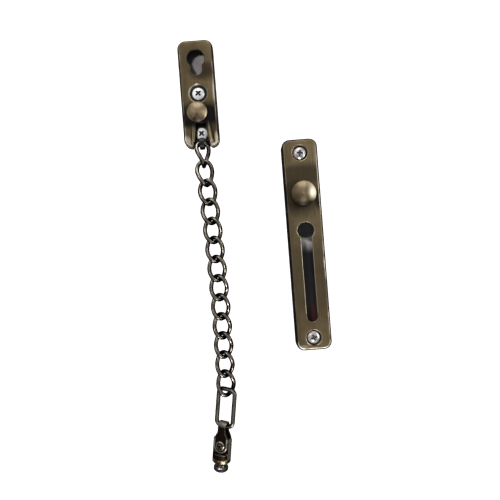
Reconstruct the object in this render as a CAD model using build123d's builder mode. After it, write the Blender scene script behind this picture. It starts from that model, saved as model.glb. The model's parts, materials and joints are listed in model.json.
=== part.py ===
"""Door chain: a chain plate with its chain and sliding pin, and the track plate that the pin locks into.

Millimetres. +Z is up and the fronts face -Y. The plane Y = 0 is the face of the door and its frame.
The origin is where the chain plate's upper screw crosses that plane, at the middle of the plate.
"""

import os
from math import atan2, degrees, sqrt

from build123d import *

# Both pressed covers
plate_width = 22.0
sheet = 1.2
corner_radius = 5.0
front_edge_radius = 1.7
rim_radius = 0.45
back_clearance = 0.12

# Chain plate
chain_plate_height = 66.0
chain_plate_depth = 6.2
chain_back_thickness = 0.8
keyhole_inset = 11.5
keyhole_radius = 5.4
keyhole_tail_width = 6.8
keyhole_tail_length = 10.3
strap_slot_length = 15.6
strap_slot_width = 7.6
strap_slot_mouth_width = 11.6
lip_radius = 1.15
lip_rise = 0.4
lip_bend = 1.4
lip_return = 2.2

# Strap that the chain hangs from, and the domed rivet that holds it to the cover
strap_thickness = 1.2
strap_width = 9.6
strap_top = 6.0
strap_corner = 1.5
strap_end_margin = 0.6
tongue_width = 3.2
eye_lift = 2.15
eye_room = 1.1
eye_rest = 0.8
eye_opening = 112.0
eye_rounding = 0.5
rivet_inset = 21.2
rivet_shift = -1.5
rivet_dome_diameter = 12.4
rivet_dome_height = 3.2
rivet_dome_rim = 0.9
mark_radius = 0.5
mark_depth = 0.2
rivet_shoulder_radius = 3.0
dome_clearance = 0.1
rivet_shank_radius = 2.5
rivet_tenon_radius = 1.7
rivet_clearance = 0.05

# Screws
screw_head_diameter = 7.4
screw_head_rim = 1.0
screw_head_height = 2.3
screw_neck_radius = 1.95
screw_thread_radius = 1.75
screw_thread_length = 15.0
screw_tip_length = 3.5
screw_clearance = 0.2
screw_hole_radius = screw_neck_radius + screw_clearance
recess_length = 4.4
recess_width = 1.0
recess_depth = 1.3
recess_taper = 6.0
lower_screw_inset = 8.7
upper_recess_turn = 12.0
lower_recess_turn = 33.0
track_upper_recess_turn = -8.0
track_lower_recess_turn = 20.0

# Dished screw seats
chain_seat_mouth_radius = 6.1
track_seat_mouth_radius = 4.9
seat_floor_radius = 4.1
seat_depth = 2.2

# Chain
wire = 2.7
link_count = 13
link_half_width = 4.8
link_half_length = 7.375
link_twist = 2.25
link_gap = 0.2
eye_skew = -14.0
turn_left_per_link = 0.46
first_lean = 4.0
last_lean = -1.5

# Long link at the end of the chain
long_link_half_width = 5.45
long_link_half_length = 11.3
long_link_corner = 3.0
long_link_gap = 0.9
long_link_lean = -8.5
long_link_turn = -23.0

# Folded end strap and its rivet
end_sheet = 1.2
fold_inner_radius = 2.0
fold_seat_gap = 0.4
fold_shift = -0.5
neck_width = 5.1
neck_length = 3.4
leaf_width = 8.9
leaf_edge = 0.25
flare_length = 3.7
flare_rounding = 1.2
leaf_clearance = 0.15
rivet_drop = 11.6
end_rivet_radius = 1.5
end_rivet_head_radius = 2.45
end_rivet_head_height = 0.9
end_rivet_bore_radius = 0.85
end_rivet_bore_depth = 2.4
end_lean = -8.0

# Sliding pin
slug_radius = 5.75
slug_top_drop = 7.1
slug_length = 15.0
collar_height = 2.4
collar_groove = 0.35
collar_chamfer = 0.7
pin_neck_radius = 2.7
pin_neck_length = 2.3
pin_head_radius = 4.55
pin_head_thickness = 3.0
pin_head_edge = 0.7
flat_clearance = 0.05

# Track plate
track_height = 130.0
track_depth = 7.2
track_back_thickness = 0.9
track_x = 59.4
track_z = -97.9
track_upper_screw_inset = 8.7
track_lower_screw_inset = 7.7
entry_height = 8.6
entry_radius = 5.05
track_slot_width = 6.5
track_slot_inset = 17.5

# Press button, its spring and the latch plate that it carries
button_height = 31.0
button_diameter = 14.8
button_rim = 1.1
button_dome = 2.6
button_stand_off = 3.6
button_stem_radius = 2.9
stem_clearance = 0.06
spring_recess_depth = 2.0
spring_wire = 0.7
spring_turns = 3
spring_mean_radius = 4.1
spring_clearance = 0.2
latch_thickness = 1.0
latch_gap = 0.25
latch_top = 38.0
latch_shoulder = 20.0
latch_nose_radius = 5.35
latch_nose_lift = 1.0
latch_side_clearance = 0.35
latch_corner = 1.5


def front_plane(y):
    """Plane that faces the front, with its local Y axis upwards."""
    return Plane((0, y, 0), x_dir=(1, 0, 0), z_dir=(0, -1, 0))


def turning_plane(x, z):
    """Plane through a front-to-back axis: local X is the radius and local Y runs front to back."""
    return Plane((x, 0, z), x_dir=(1, 0, 0), z_dir=(0, 0, 1))


def turning_axis(x, z):
    """Front-to-back axis through a point of the front view."""
    return Axis((x, 0, z), (0, 1, 0))


def save(part, name):
    """Label a finished piece and write it as its own file."""
    part.label = name
    export_step(part, f"parts/{name}.step")


def pressed_pan(height, depth):
    """Open-backed tray of sheet with rounded corners and a rounded front edge."""
    with BuildPart() as pan:
        with BuildSketch(front_plane(0)):
            RectangleRounded(plate_width, height, corner_radius)
        extrude(amount=depth)
        fillet(pan.faces().sort_by(Axis.Y)[0].edges(), front_edge_radius)
        offset(amount=-sheet, openings=pan.faces().sort_by(Axis.Y)[-1])
    return pan.part


def seat_wall(depth, z, mouth_radius):
    """Dished wall of sheet around a screw hole, pressed into a cover's front."""
    front = -depth
    floor = front + seat_depth
    with BuildPart() as wall:
        with BuildSketch(turning_plane(0, z)):
            with BuildLine():
                Polyline(
                    (mouth_radius, front),
                    (seat_floor_radius, floor),
                    (screw_hole_radius, floor),
                    (screw_hole_radius, floor + sheet),
                    (seat_floor_radius + sheet / 2, floor + sheet),
                    (mouth_radius + sheet, front + sheet),
                    (mouth_radius + sheet, front),
                    close=True,
                )
            make_face()
        revolve(axis=turning_axis(0, z))
    return wall.part


def screw(x, z, seat_y, recess_turn):
    """Cross-recessed pan-head screw: plain as far as the door face, then threaded to a point."""
    head_radius = screw_head_diameter / 2
    crown = seat_y - screw_head_height
    tip = screw_thread_length + screw_tip_length
    with BuildPart() as fastener:
        with BuildSketch(turning_plane(x, z)):
            with BuildLine():
                top = TangentArc((0, crown), (head_radius, seat_y - screw_head_rim), tangent=(1, 0))
                Polyline(
                    top @ 1,
                    (head_radius, seat_y),
                    (screw_neck_radius, seat_y),
                    (screw_neck_radius, 0),
                    (screw_thread_radius, 0),
                    (screw_thread_radius, screw_thread_length),
                    (0, tip),
                    top @ 0,
                )
            make_face()
        revolve(axis=turning_axis(x, z))
        with BuildSketch(front_plane(crown + recess_depth)):
            with Locations((x, z)):
                Rectangle(recess_length, recess_width, rotation=recess_turn)
                Rectangle(recess_width, recess_length, rotation=recess_turn)
        extrude(amount=recess_depth + screw_head_height, taper=-recess_taper, mode=Mode.SUBTRACT)
    return fastener.part


def biarc(start, start_tangent, end, end_tangent):
    """Point where two arcs of equal tangent length meet, and the shared direction there."""
    chord = end - start
    along = chord.dot(start_tangent + end_tangent)
    spread = 2 * (1 - start_tangent.dot(end_tangent))
    reach = (sqrt(along**2 + spread * chord.dot(chord)) - along) / spread
    meeting = (start + end + (start_tangent - end_tangent) * reach) * 0.5
    direction = (end - end_tangent * reach) - (start + start_tangent * reach)
    return meeting, direction.normalized()


def hang_frame(top, lean, turn, half_length):
    """Frame at the middle of a link that hangs from the point top and leans in the front view."""
    return Location(top, (0, -lean, 0)) * Location((0, 0, -half_length), (0, 0, turn))


def next_top(frame, half_length, lean, gap):
    """Wire centre of the next link's top bow, one wire and a gap above this link's bottom bow."""
    bottom = (frame * Location((0, 0, -half_length))).position
    return (Location(bottom, (0, -lean, 0)) * Location((0, 0, wire + gap))).position


os.makedirs("parts", exist_ok=True)

# Chain plate: levels from front to back, and places that several pieces share
chain_front = -chain_plate_depth
chain_bottom = -chain_plate_height / 2
keyhole_height = chain_plate_height / 2 - keyhole_inset
keyhole_tail_end = keyhole_height - keyhole_tail_length
rivet_height = chain_bottom + rivet_inset
lower_screw_height = chain_bottom + lower_screw_inset
strap_slot_top = chain_bottom + strap_slot_length
strap_back = -chain_back_thickness
strap_front = strap_back - strap_thickness
chain_seat = chain_front + seat_depth
eye_inner = wire / 2 + eye_room
eye_y = strap_front - eye_inner
eye_z = chain_bottom + eye_lift
strap_body_bottom = lower_screw_height - screw_head_diameter / 2 - strap_end_margin

with BuildPart() as chain_plate:
    add(pressed_pan(chain_plate_height, chain_plate_depth))
    with BuildSketch(front_plane(0)):
        tail_low = keyhole_tail_end + keyhole_tail_width / 2
        with Locations((0, keyhole_height)):
            Circle(keyhole_radius)
        with Locations((0, (keyhole_height + tail_low) / 2)):
            SlotCenterToCenter(keyhole_height - tail_low, keyhole_tail_width, rotation=90)
        with Locations((rivet_shift, rivet_height)):
            Circle(rivet_shank_radius + rivet_clearance)
        Circle(chain_seat_mouth_radius)
        slot_shoulder = strap_slot_top - strap_slot_width / 2
        with Locations((0, slot_shoulder)):
            Circle(strap_slot_width / 2)
        with BuildLine():
            Polyline(
                (-strap_slot_width / 2, slot_shoulder),
                (strap_slot_width / 2, slot_shoulder),
                (strap_slot_mouth_width / 2, chain_bottom),
                (-strap_slot_mouth_width / 2, chain_bottom),
                close=True,
            )
        make_face()
    extrude(amount=chain_plate_depth, mode=Mode.SUBTRACT)
    add(seat_wall(chain_plate_depth, 0, chain_seat_mouth_radius))
    fillet(chain_plate.faces().sort_by(Axis.Y)[0].inner_wires().edges(), rim_radius)
    with BuildLine() as lip_line:
        lip_y = chain_front + lip_radius - lip_rise
        lip_low = chain_bottom + lip_radius
        FilletPolyline(
            (-strap_slot_mouth_width / 2, lip_y + lip_return, lip_low),
            (-strap_slot_mouth_width / 2, lip_y, lip_low),
            (-strap_slot_width / 2, lip_y, strap_slot_top),
            (strap_slot_width / 2, lip_y, strap_slot_top),
            (strap_slot_mouth_width / 2, lip_y, lip_low),
            (strap_slot_mouth_width / 2, lip_y + lip_return, lip_low),
            radius=lip_bend,
        )
    with BuildSketch(lip_line.line ^ 0):
        Circle(lip_radius)
    sweep()
save(chain_plate.part, "chain_plate")

with BuildPart() as chain_plate_back:
    back_margin = sheet + back_clearance
    with BuildSketch(front_plane(0)):
        RectangleRounded(
            plate_width - 2 * back_margin,
            chain_plate_height - 2 * back_margin,
            corner_radius - back_margin,
        )
        with Locations((0, 0), (0, lower_screw_height)):
            Circle(screw_hole_radius, mode=Mode.SUBTRACT)
        with Locations((rivet_shift, rivet_height)):
            Circle(rivet_tenon_radius + rivet_clearance, mode=Mode.SUBTRACT)
    extrude(amount=chain_back_thickness)
save(chain_plate_back.part, "chain_plate_back")

# The strap lies on the back plate, and its tongue curls round the first link's top bow
with BuildPart() as anchor_strap:
    with BuildSketch(front_plane(strap_back)):
        with Locations((0, (strap_top + strap_body_bottom) / 2)):
            RectangleRounded(strap_width, strap_top - strap_body_bottom, strap_corner)
        with Locations((0, 0), (0, lower_screw_height)):
            Circle(screw_hole_radius, mode=Mode.SUBTRACT)
        with Locations((rivet_shift, rivet_height)):
            Circle(rivet_tenon_radius + rivet_clearance, mode=Mode.SUBTRACT)
    extrude(amount=strap_thickness)
    with BuildLine(Plane((0, eye_y, eye_z), x_dir=(0, 1, 0), z_dir=(1, 0, 0))) as curl:
        eye_middle = eye_inner + strap_thickness / 2
        tongue_length = strap_body_bottom + strap_corner - eye_z
        Line((eye_middle, tongue_length), (eye_middle, 0))
        CenterArc((0, 0), eye_middle, 0, eye_opening - 360)
    with BuildSketch(Plane(curl.line @ 0, x_dir=(1, 0, 0), z_dir=(0, 0, -1))):
        RectangleRounded(tongue_width, strap_thickness, eye_rounding)
    sweep()
save(anchor_strap.part, "anchor_strap")

with BuildPart() as strap_rivet:
    with BuildSketch(turning_plane(rivet_shift, rivet_height)):
        dome_radius = rivet_dome_diameter / 2
        with BuildLine():
            dome_under = chain_front - lip_rise - dome_clearance
            dome_top = dome_under - rivet_dome_height
            dome = TangentArc(
                (mark_radius, dome_top),
                (dome_radius, dome_under - rivet_dome_rim),
                tangent=(1, 0),
            )
            Polyline(
                dome @ 1,
                (dome_radius, dome_under),
                (rivet_shoulder_radius, dome_under),
                (rivet_shoulder_radius, chain_front),
                (rivet_shank_radius, chain_front),
                (rivet_shank_radius, strap_front),
                (rivet_tenon_radius, strap_front),
                (rivet_tenon_radius, 0),
                (0, 0),
                (0, dome_top + mark_depth),
                dome @ 0,
            )
        make_face()
    revolve(axis=turning_axis(rivet_shift, rivet_height))
save(strap_rivet.part, "strap_rivet")

save(screw(0, 0, chain_seat, upper_recess_turn), "chain_plate_upper_screw")
save(screw(0, lower_screw_height, strap_front, lower_recess_turn), "chain_plate_lower_screw")

# One twisted link about its own middle: half of its wire, then the same half turned over
with BuildPart() as link_half:
    with BuildLine() as wire_line:
        side = Vector(link_half_width, 0, 0)
        side_tangent = Vector(0, -2 * link_twist, link_half_length).normalized()
        bow = Vector(0, 0, link_half_length)
        bow_tangent = Vector(-link_half_width, 2 * link_twist, 0).normalized()
        shoulder, shoulder_tangent = biarc(side, side_tangent, bow, bow_tangent)
        far_shoulder = Vector(-shoulder.X, -shoulder.Y, shoulder.Z)
        far_tangent = Vector(shoulder_tangent.X, shoulder_tangent.Y, -shoulder_tangent.Z)
        TangentArc(side, shoulder, tangent=side_tangent)
        TangentArc(shoulder, bow, tangent=shoulder_tangent)
        TangentArc(bow, far_shoulder, tangent=bow_tangent)
        TangentArc(far_shoulder, -side, tangent=far_tangent)
    with BuildSketch(wire_line.line ^ 0):
        Circle(wire / 2)
    sweep()

with BuildPart() as link_shape:
    add(link_half.part)
    with Locations(Location((0, 0, 0), (180, 0, 0))):
        add(link_half.part)

# The first link hangs askew in the eye, and the links below lean a little and turn back by a share each
first_turn = degrees(atan2(2 * link_twist, link_half_width)) - eye_skew
link_top = Vector(0, eye_y, eye_z + eye_rest)
link_frames = []
for number in range(1, link_count + 1):
    lean = 0
    if link_frames:
        lean = first_lean + (last_lean - first_lean) * (number - 2) / (link_count - 2)
        link_top = next_top(link_frames[-1], link_half_length, lean, link_gap)
    turn = first_turn * turn_left_per_link ** (number - 1)
    link_frames.append(hang_frame(link_top, lean, turn, link_half_length))
    with BuildPart() as link:
        with Locations(link_frames[-1]):
            add(link_shape.part)
    save(link.part, f"link_{number:02d}")

long_link_top = next_top(link_frames[-1], link_half_length, long_link_lean, long_link_gap)
long_link_frame = hang_frame(long_link_top, long_link_lean, long_link_turn, long_link_half_length)

with BuildPart() as long_half:
    with BuildLine() as bar_line:
        FilletPolyline(
            (long_link_half_width, 0, 0),
            (long_link_half_width, 0, long_link_half_length),
            (-long_link_half_width, 0, long_link_half_length),
            (-long_link_half_width, 0, 0),
            radius=long_link_corner,
        )
    with BuildSketch(bar_line.line ^ 0):
        Circle(wire / 2)
    sweep()

with BuildPart() as long_link:
    with Locations(long_link_frame, long_link_frame * Location((0, 0, 0), (180, 0, 0))):
        add(long_half.part)
save(long_link.part, "long_link")

# End fitting about the wire centre of the long link's bottom bar, then placed there
bar_centre = (long_link_frame * Location((fold_shift, 0, -long_link_half_length))).position
end_frame = Location(bar_centre, (0, -end_lean, 0)) * Location((0, 0, 0), (0, 0, long_link_turn))
fold_outer_radius = fold_inner_radius + end_sheet
fold_z = wire / 2 + fold_seat_gap - fold_inner_radius
fold_top = fold_z + fold_outer_radius
leaf_end = -rivet_drop - leaf_width / 2
side_plane = Plane((0, 0, fold_z), x_dir=(0, 1, 0), z_dir=(1, 0, 0))

with BuildPart() as end_strap_shape:
    with BuildSketch(side_plane):
        leg_length = fold_z - leaf_end
        with Locations((0, -leg_length / 2)):
            Rectangle(2 * fold_outer_radius, leg_length)
        Circle(fold_outer_radius)
        with Locations((0, -leg_length / 2)):
            Rectangle(2 * fold_inner_radius, leg_length, mode=Mode.SUBTRACT)
        Circle(fold_inner_radius, mode=Mode.SUBTRACT)
    extrude(amount=leaf_width / 2, both=True)
    with BuildSketch(front_plane(0)):
        with BuildLine():
            flare_end = -neck_length - flare_length
            FilletPolyline(
                (-leaf_width / 2, -rivet_drop),
                (-leaf_width / 2, flare_end),
                (-neck_width / 2, -neck_length),
                (-neck_width / 2, fold_top),
                radius=flare_rounding,
            )
            FilletPolyline(
                (leaf_width / 2, -rivet_drop),
                (leaf_width / 2, flare_end),
                (neck_width / 2, -neck_length),
                (neck_width / 2, fold_top),
                radius=flare_rounding,
            )
            Line((-neck_width / 2, fold_top), (neck_width / 2, fold_top))
            ThreePointArc((-leaf_width / 2, -rivet_drop), (0, leaf_end), (leaf_width / 2, -rivet_drop))
        make_face()
        with Locations((0, -rivet_drop)):
            Circle(end_rivet_radius + rivet_clearance, mode=Mode.SUBTRACT)
    extrude(amount=fold_outer_radius, both=True, mode=Mode.INTERSECT)
    leaves = end_strap_shape.faces().filter_by(Plane.XZ).sort_by(Axis.Y)
    leaf_rims = leaves[0].outer_wire().edges() + leaves[-1].outer_wire().edges()
    fillet(leaf_rims.filter_by(Axis.X, reverse=True), leaf_edge)

with BuildPart() as end_strap:
    with Locations(end_frame):
        add(end_strap_shape.part)
save(end_strap.part, "end_strap")

with BuildPart() as end_rivet_shape:
    with BuildSketch(turning_plane(0, -rivet_drop)):
        head_top = Vector(0, fold_outer_radius + end_rivet_head_height)
        with BuildLine():
            front_head = TangentArc(-head_top, (end_rivet_head_radius, -fold_outer_radius), tangent=(1, 0))
            back_head = TangentArc(head_top, (end_rivet_head_radius, fold_outer_radius), tangent=(1, 0))
            Polyline(
                front_head @ 1,
                (end_rivet_radius, -fold_outer_radius),
                (end_rivet_radius, fold_outer_radius),
                back_head @ 1,
            )
            Line(front_head @ 0, back_head @ 0)
        make_face()
    revolve(axis=turning_axis(0, -rivet_drop))
    with BuildSketch(front_plane(end_rivet_bore_depth - fold_outer_radius)):
        with Locations((0, -rivet_drop)):
            Circle(end_rivet_bore_radius)
    extrude(amount=end_rivet_bore_depth + end_rivet_head_height, mode=Mode.SUBTRACT)

with BuildPart() as end_rivet:
    with Locations(end_frame):
        add(end_rivet_shape.part)
save(end_rivet.part, "end_rivet")

# Turned pin: a slug with a collar, a neck for the track's slot and a head that runs behind it
with BuildPart() as pin_shape:
    slug_bottom = -slug_top_drop - slug_length
    collar_top = slug_bottom + collar_height
    head_start = slug_bottom - pin_neck_length
    head_end = head_start - pin_head_thickness
    with BuildSketch(Plane.XZ):
        with BuildLine():
            Polyline(
                (0, -slug_top_drop),
                (slug_radius - collar_chamfer, -slug_top_drop),
                (slug_radius, -slug_top_drop - collar_chamfer),
                (slug_radius, collar_top + collar_groove),
                (slug_radius - collar_groove, collar_top),
                (slug_radius, collar_top - collar_groove),
                (slug_radius, slug_bottom + collar_chamfer),
                (slug_radius - collar_chamfer, slug_bottom),
                (pin_neck_radius, slug_bottom),
                (pin_neck_radius, head_start),
                (pin_head_radius - pin_head_edge, head_start),
                (pin_head_radius, head_start - pin_head_edge),
                (pin_head_radius, head_end + pin_head_edge),
                (pin_head_radius - pin_head_edge, head_end),
                (0, head_end),
                close=True,
            )
        make_face()
    revolve(axis=Axis.Z)
    tongue_half = fold_inner_radius - flat_clearance
    flat_depth = slug_radius - tongue_half
    flat_height = -slug_top_drop - (leaf_end - leaf_clearance)
    with Locations((0, slug_radius, -slug_top_drop), (0, -slug_radius, -slug_top_drop)):
        Box(
            2 * slug_radius,
            2 * flat_depth,
            flat_height,
            align=(Align.CENTER, Align.CENTER, Align.MAX),
            mode=Mode.SUBTRACT,
        )
    with Locations(Location((0, 0, -rivet_drop), (90, 0, 0))):
        Cylinder(end_rivet_radius + rivet_clearance, 2 * slug_radius, mode=Mode.SUBTRACT)

with BuildPart() as sliding_pin:
    with Locations(end_frame):
        add(pin_shape.part)
save(sliding_pin.part, "sliding_pin")

# Track plate: made about its own middle, then set beside the chain
track_front = -track_depth
track_seat = track_front + seat_depth
track_place = Location((track_x, 0, track_z))
track_upper_screw_height = track_height / 2 - track_upper_screw_inset
track_lower_screw_height = track_lower_screw_inset - track_height / 2
track_slot_end = track_slot_inset - track_height / 2
track_upper_z = track_z + track_upper_screw_height
track_lower_z = track_z + track_lower_screw_height

with BuildPart() as track_shape:
    add(pressed_pan(track_height, track_depth))
    with BuildSketch(front_plane(0)):
        slot_low = track_slot_end + track_slot_width / 2
        with Locations((0, entry_height)):
            Circle(entry_radius)
        with Locations((0, (entry_height + slot_low) / 2)):
            SlotCenterToCenter(entry_height - slot_low, track_slot_width, rotation=90)
        with Locations((0, button_height)):
            Circle(button_stem_radius + stem_clearance)
        with Locations((0, track_upper_screw_height), (0, track_lower_screw_height)):
            Circle(track_seat_mouth_radius)
    extrude(amount=track_depth, mode=Mode.SUBTRACT)
    add(seat_wall(track_depth, track_upper_screw_height, track_seat_mouth_radius))
    add(seat_wall(track_depth, track_lower_screw_height, track_seat_mouth_radius))
    fillet(track_shape.faces().sort_by(Axis.Y)[0].inner_wires().edges(), rim_radius)

with BuildPart() as track_plate:
    with Locations(track_place):
        add(track_shape.part)
save(track_plate.part, "track_plate")

with BuildPart() as track_back:
    with BuildSketch(front_plane(0)):
        with Locations((track_x, track_z)):
            RectangleRounded(
                plate_width - 2 * back_margin,
                track_height - 2 * back_margin,
                corner_radius - back_margin,
            )
        with Locations((track_x, track_upper_z), (track_x, track_lower_z)):
            Circle(screw_hole_radius, mode=Mode.SUBTRACT)
    extrude(amount=track_back_thickness)
save(track_back.part, "track_back")

save(screw(track_x, track_upper_z, track_seat, track_upper_recess_turn), "track_upper_screw")
save(screw(track_x, track_lower_z, track_seat, track_lower_recess_turn), "track_lower_screw")

# Button and latch plate move together; the spring lifts the button off the cover
button_z = track_z + button_height
button_under = track_front - button_stand_off
recess_ceiling = button_under - spring_recess_depth
recess_radius = spring_mean_radius + spring_wire / 2 + spring_clearance
latch_front = track_front + sheet + latch_gap
latch_back = latch_front + latch_thickness

with BuildPart() as press_button:
    with BuildSketch(turning_plane(track_x, button_z)):
        button_radius = button_diameter / 2
        with BuildLine():
            cap_top = button_under - button_rim - button_dome
            cap = TangentArc(
                (mark_radius, cap_top),
                (button_radius, button_under - button_rim),
                tangent=(1, 0),
            )
            Polyline(
                cap @ 1,
                (button_radius, button_under),
                (recess_radius, button_under),
                (recess_radius, recess_ceiling),
                (button_stem_radius, recess_ceiling),
                (button_stem_radius, latch_back),
                (0, latch_back),
                (0, cap_top + mark_depth),
                cap @ 0,
            )
        make_face()
    revolve(axis=turning_axis(track_x, button_z))
save(press_button.part, "press_button")

with BuildPart() as latch_plate:
    with BuildSketch(front_plane(latch_back)):
        latch_width = plate_width - 2 * (sheet + latch_side_clearance)
        with Locations((track_x, track_z + (latch_top + latch_shoulder) / 2)):
            RectangleRounded(latch_width, latch_top - latch_shoulder, latch_corner)
        latch_nose = entry_height + latch_nose_lift
        with Locations((track_x, track_z + (latch_top + latch_nose) / 2)):
            Rectangle(2 * latch_nose_radius, latch_top - latch_nose)
        with Locations((track_x, track_z + latch_nose)):
            Circle(latch_nose_radius)
        with Locations((track_x, button_z)):
            Circle(button_stem_radius + stem_clearance, mode=Mode.SUBTRACT)
    extrude(amount=latch_thickness)
save(latch_plate.part, "latch_plate")

with BuildPart() as button_spring:
    spring_start = track_front - spring_wire / 2 - spring_clearance
    spring_height = spring_start - (recess_ceiling + spring_wire / 2 + spring_clearance)
    with BuildLine() as coil:
        Helix(
            pitch=spring_height / spring_turns,
            height=spring_height,
            radius=spring_mean_radius,
            center=(track_x, spring_start, button_z),
            direction=(0, -1, 0),
        )
    with BuildSketch(coil.line ^ 0):
        Circle(spring_wire / 2)
    sweep()
save(button_spring.part, "button_spring")
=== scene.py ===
import json
import math

import bmesh
import bpy
from mathutils import Matrix, Vector


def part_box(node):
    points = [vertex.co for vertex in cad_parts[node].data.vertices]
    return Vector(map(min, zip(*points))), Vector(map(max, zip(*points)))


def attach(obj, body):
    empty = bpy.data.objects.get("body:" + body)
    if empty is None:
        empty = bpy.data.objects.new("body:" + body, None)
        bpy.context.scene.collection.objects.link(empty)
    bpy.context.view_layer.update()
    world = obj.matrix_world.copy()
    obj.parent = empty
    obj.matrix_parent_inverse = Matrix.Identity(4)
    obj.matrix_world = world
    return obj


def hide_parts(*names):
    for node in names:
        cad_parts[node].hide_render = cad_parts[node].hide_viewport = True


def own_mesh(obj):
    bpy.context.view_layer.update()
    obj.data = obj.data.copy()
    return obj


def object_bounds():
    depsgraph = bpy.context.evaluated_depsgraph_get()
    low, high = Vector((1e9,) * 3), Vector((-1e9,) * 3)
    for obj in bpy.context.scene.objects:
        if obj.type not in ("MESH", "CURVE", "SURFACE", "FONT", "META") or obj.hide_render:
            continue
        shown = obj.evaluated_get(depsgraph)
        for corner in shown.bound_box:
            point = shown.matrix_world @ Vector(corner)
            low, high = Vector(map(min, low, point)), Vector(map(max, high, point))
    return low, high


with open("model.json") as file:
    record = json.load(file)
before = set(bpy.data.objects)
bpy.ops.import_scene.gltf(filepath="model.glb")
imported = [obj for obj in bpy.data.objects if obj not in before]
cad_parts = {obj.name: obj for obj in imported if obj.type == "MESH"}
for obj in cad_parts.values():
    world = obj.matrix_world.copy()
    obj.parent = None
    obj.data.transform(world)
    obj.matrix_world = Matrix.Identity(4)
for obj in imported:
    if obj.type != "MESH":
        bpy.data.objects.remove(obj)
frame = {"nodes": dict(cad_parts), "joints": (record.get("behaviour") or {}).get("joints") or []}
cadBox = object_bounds()
nodes = frame["nodes"]
joints = {joint["name"]: joint for joint in frame["joints"]}
mm = 0.001
frontWards = Vector((0, -1, 0))  # both plates face this way
print("frame loaded,", len(nodes), "pieces")


# small helpers for node trees

def addNode(tree, kind, inputs=None, **settings):
    node = tree.nodes.new(kind)
    for name, value in settings.items():
        setattr(node, name, value)
    for key, value in (inputs or {}).items():
        if isinstance(value, bpy.types.NodeSocket):
            tree.links.new(value, node.inputs[key])
        else:
            node.inputs[key].default_value = value
    return node


def calc(tree, operation, first, second=0.0):
    return addNode(tree, "ShaderNodeMath", {0: first, 1: second}, operation=operation).outputs[0]


def times(tree, first, second):
    return calc(tree, "MULTIPLY", first, second)


def vectorCalc(tree, operation, first, second=(0, 0, 0)):
    node = addNode(tree, "ShaderNodeVectorMath", {0: first, 1: second}, operation=operation)
    return node.outputs["Value" if operation in ("DOT_PRODUCT", "LENGTH") else "Vector"]


def objectPlace(tree):
    return addNode(tree, "ShaderNodeTexCoord").outputs["Object"]


def normalOf(tree):
    return addNode(tree, "ShaderNodeNewGeometry").outputs["Normal"]


def axesOf(tree, vector):
    return addNode(tree, "ShaderNodeSeparateXYZ", {0: vector}).outputs


def remap(tree, value, fromLow, fromHigh, toLow=0.0, toHigh=1.0, smooth=False):
    node = addNode(
        tree,
        "ShaderNodeMapRange",
        {"Value": value, "From Min": fromLow, "From Max": fromHigh, "To Min": toLow, "To Max": toHigh},
        interpolation_type="SMOOTHSTEP" if smooth else "LINEAR",
    )
    return node.outputs["Result"]


def mixColour(tree, factor, first, second):
    node = addNode(tree, "ShaderNodeMix", {0: factor, 6: first, 7: second}, data_type="RGBA")
    return node.outputs[2]


def noise(tree, vector, scale, detail):
    look = {"Vector": vector, "Scale": scale, "Detail": detail}
    return addNode(tree, "ShaderNodeTexNoise", look).outputs["Fac"]


def paint(tree, shader, colour):
    tree.links.new(colour, shader.inputs["Base Color"])


def roughen(tree, shader, mask, span):
    tree.links.new(remap(tree, mask, 0, 1, *span), shader.inputs["Roughness"])


def addBump(tree, shader, height, strength, depth):
    bump = addNode(tree, "ShaderNodeBump", {"Height": height, "Strength": strength, "Distance": depth})
    tree.links.new(bump.outputs[0], shader.inputs["Normal"])


def startGroup(name, inputs, outputs):
    group = bpy.data.node_groups.new(name, "ShaderNodeTree")
    for side, sockets in (("INPUT", inputs), ("OUTPUT", outputs)):
        for label, kind in sockets.items():
            group.interface.new_socket(name=label, in_out=side, socket_type="NodeSocket" + kind)
    return group, group.nodes.new("NodeGroupInput"), group.nodes.new("NodeGroupOutput")


def useGroup(tree, group, inputs):
    return addNode(tree, "ShaderNodeGroup", inputs, node_tree=group).outputs


def startMaterial(name):
    material = bpy.data.materials.new(name)
    material.use_nodes = True
    return material, material.node_tree, material.node_tree.nodes["Principled BSDF"]


def wear(nodeNames, material):
    for name in nodeNames:
        mesh = nodes[name].data
        mesh.materials.clear()
        mesh.materials.append(material)


# effects that several finishes share

effectLook = {
    "blotches": 170.0,  # per metre, as the next two
    "rubPatches": 420.0,
    "rings": 5200.0,
    "rubTurn": (0.99, 0.9),  # how far an edge's rounded normal leaves the face's own
    "rubShare": (0.35, 1.0),
    "haloCore": 0.35,  # share of a halo's reach where it is full
}


def makeGrainGroup():
    group, entry, result = startGroup(
        "brushedGrain", {"Stretch": "Vector"}, {"Streaks": "Float", "Blotches": "Float"}
    )
    place = objectPlace(group)
    stretched = vectorCalc(group, "MULTIPLY", place, entry.outputs["Stretch"])
    fine = noise(group, stretched, 1.0, 5.0)
    cloud = noise(group, place, effectLook["blotches"], 4.0)
    group.links.new(remap(group, fine, 0.3, 0.7), result.inputs["Streaks"])
    group.links.new(remap(group, cloud, 0.32, 0.68), result.inputs["Blotches"])
    return group


def makeRubGroup():
    group, entry, result = startGroup("edgeRub", {"Width": "Float"}, {"Rub": "Float"})
    width = {"Radius": entry.outputs["Width"]}
    rounded = addNode(group, "ShaderNodeBevel", width, samples=6).outputs[0]
    agreement = vectorCalc(group, "DOT_PRODUCT", rounded, normalOf(group))
    patches = noise(group, objectPlace(group), effectLook["rubPatches"], 3.0)
    edge = remap(group, agreement, *effectLook["rubTurn"], smooth=True)
    share = remap(group, patches, 0.3, 0.6, *effectLook["rubShare"])
    group.links.new(times(group, edge, share), result.inputs["Rub"])
    return group


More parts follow.
